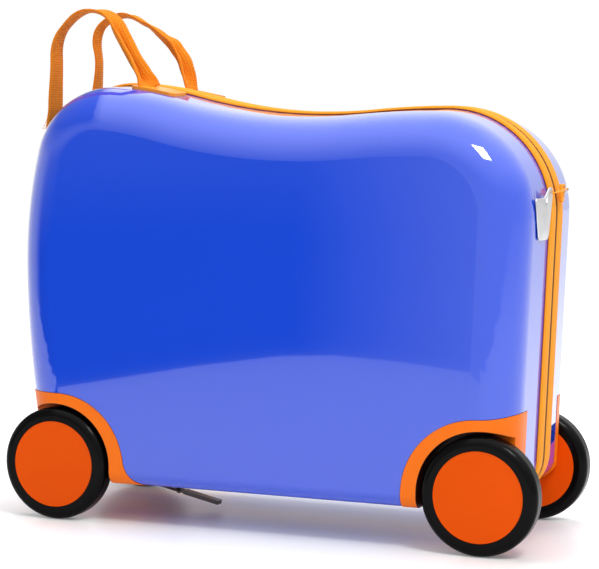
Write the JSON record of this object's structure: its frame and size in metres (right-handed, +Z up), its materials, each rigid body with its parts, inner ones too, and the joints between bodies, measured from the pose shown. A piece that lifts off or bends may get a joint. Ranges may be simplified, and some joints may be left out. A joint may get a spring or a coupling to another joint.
{
  "type": "ride-on suitcase",
  "caption": "Child's ride-on suitcase: two glossy moulded half shells with a saddle top, zip band, wheels in arched housings and webbing grab straps.",
  "frame": {"origin": "on the ground, midway between the four wheels, in the plane of the seam", "axes": "+X along the case towards the tail, with the grab straps at the -X end; +Y across the case towards the far half; +Z up"},
  "size_m": [0.467, 0.19, 0.4351],
  "materials": {
    "shell": "gloss",
    "trim": "satin",
    "hub": "satin",
    "tape": "woven",
    "teeth": "satin",
    "webbing": "woven",
    "tyre": "satin",
    "silver": "satin",
    "dark_metal": "satin",
    "steel": "satin",
    "bush": "matt",
    "lining": "woven"
  },
  "bodies": {
    "far_half": {"far_shell": "shell", "lining_far": "lining", "zip_tape_far": "tape", "zip_teeth_far": "teeth", "hinge_tape_far": "tape", "strap_tab_top_far": "trim", "strap_tab_end_far": "trim", "strap_rivets_far": "steel", "housing_screws_far": "steel", "wheel_housing_front_far": "trim", "axle_front_far": "steel", "axle_washer_front_far": "steel", "axle_nut_front_far": "steel", "wheel_housing_tail_far": "trim", "axle_tail_far": "steel", "axle_washer_tail_far": "steel", "axle_nut_tail_far": "steel"},
    "near_half": {"near_shell": "shell", "lining_near": "lining", "zip_tape_near": "tape", "zip_teeth_near": "teeth", "hinge_tape_near": "tape", "strap_tab_top_near": "trim", "strap_tab_end_near": "trim", "strap_rivets_near": "steel", "housing_screws_near": "steel", "wheel_housing_front_near": "trim", "axle_front_near": "steel", "axle_washer_front_near": "steel", "axle_nut_front_near": "steel", "wheel_housing_tail_near": "trim", "axle_tail_near": "steel", "axle_washer_tail_near": "steel", "axle_nut_tail_near": "steel"},
    "wheel_front_near": {"tyre_front_near": "tyre", "hub_front_near": "hub", "hub_cap_front_near": "hub", "bush_front_near": "bush"},
    "wheel_tail_near": {"tyre_tail_near": "tyre", "hub_tail_near": "hub", "hub_cap_tail_near": "hub", "bush_tail_near": "bush"},
    "strap_near": {"strap_near": "webbing"},
    "wheel_front_far": {"tyre_front_far": "tyre", "hub_front_far": "hub", "hub_cap_front_far": "hub", "bush_front_far": "bush"},
    "wheel_tail_far": {"tyre_tail_far": "tyre", "hub_tail_far": "hub", "hub_cap_tail_far": "hub", "bush_tail_far": "bush"},
    "strap_far": {"strap_far": "webbing"},
    "tail_slider": {"tail_slider": "silver"},
    "tail_pull": {"tail_pull": "silver"},
    "front_slider": {"front_slider": "dark_metal"},
    "front_pull": {"front_pull_link": "dark_metal", "front_pull_bar": "dark_metal"}
  },
  "joints": [
    {"name": "case_open", "type": "hinge", "parent": "far_half", "child": "near_half", "pos_m": [0, 0, 0.031], "axis": [1, 0, 0], "range_deg": [0, 90]},
    {"name": "wheel_spin_front_near", "type": "hinge", "parent": "near_half", "child": "wheel_front_near", "pos_m": [-0.186, -0.084, 0.0475], "axis": [0, 1, 0], "continuous": true},
    {"name": "wheel_spin_tail_near", "type": "hinge", "parent": "near_half", "child": "wheel_tail_near", "pos_m": [0.186, -0.084, 0.0475], "axis": [0, 1, 0], "continuous": true},
    {"name": "wheel_spin_front_far", "type": "hinge", "parent": "far_half", "child": "wheel_front_far", "pos_m": [-0.186, 0.084, 0.0475], "axis": [0, 1, 0], "continuous": true},
    {"name": "wheel_spin_tail_far", "type": "hinge", "parent": "far_half", "child": "wheel_tail_far", "pos_m": [0.186, 0.084, 0.0475], "axis": [0, 1, 0], "continuous": true},
    {"name": "tail_slider_run", "type": "slide", "parent": "near_half", "child": "tail_slider", "axis": [-0.0332, 0, -0.9995], "range_m": [0, 0.15]},
    {"name": "tail_pull_swing", "type": "hinge", "parent": "tail_slider", "child": "tail_pull", "pos_m": [0.22934, 0, 0.28665], "axis": [0, -1, 0], "range_deg": [0, 100]},
    {"name": "front_slider_run", "type": "slide", "parent": "far_half", "child": "front_slider", "axis": [1, 0, 0], "range_m": [0, 0.025]},
    {"name": "front_pull_swing", "type": "hinge", "parent": "front_slider", "child": "front_pull", "pos_m": [-0.148, 0.0065, 0.0214], "axis": [0, 1, 0], "range_deg": [-8, 45]},
    {"name": "strap_lean_near", "type": "hinge", "parent": "near_half", "child": "strap_near", "pos_m": [-0.219, -0.042, 0.3288], "axis": [0.8711, 0, 0.4911], "range_deg": [-12, 35], "stiffness_Nm_per_rad": 0.05},
    {"name": "strap_lean_far", "type": "hinge", "parent": "far_half", "child": "strap_far", "pos_m": [-0.219, 0.042, 0.3288], "axis": [-0.878, 0, -0.4787], "range_deg": [-12, 35], "stiffness_Nm_per_rad": 0.05}
  ]
}
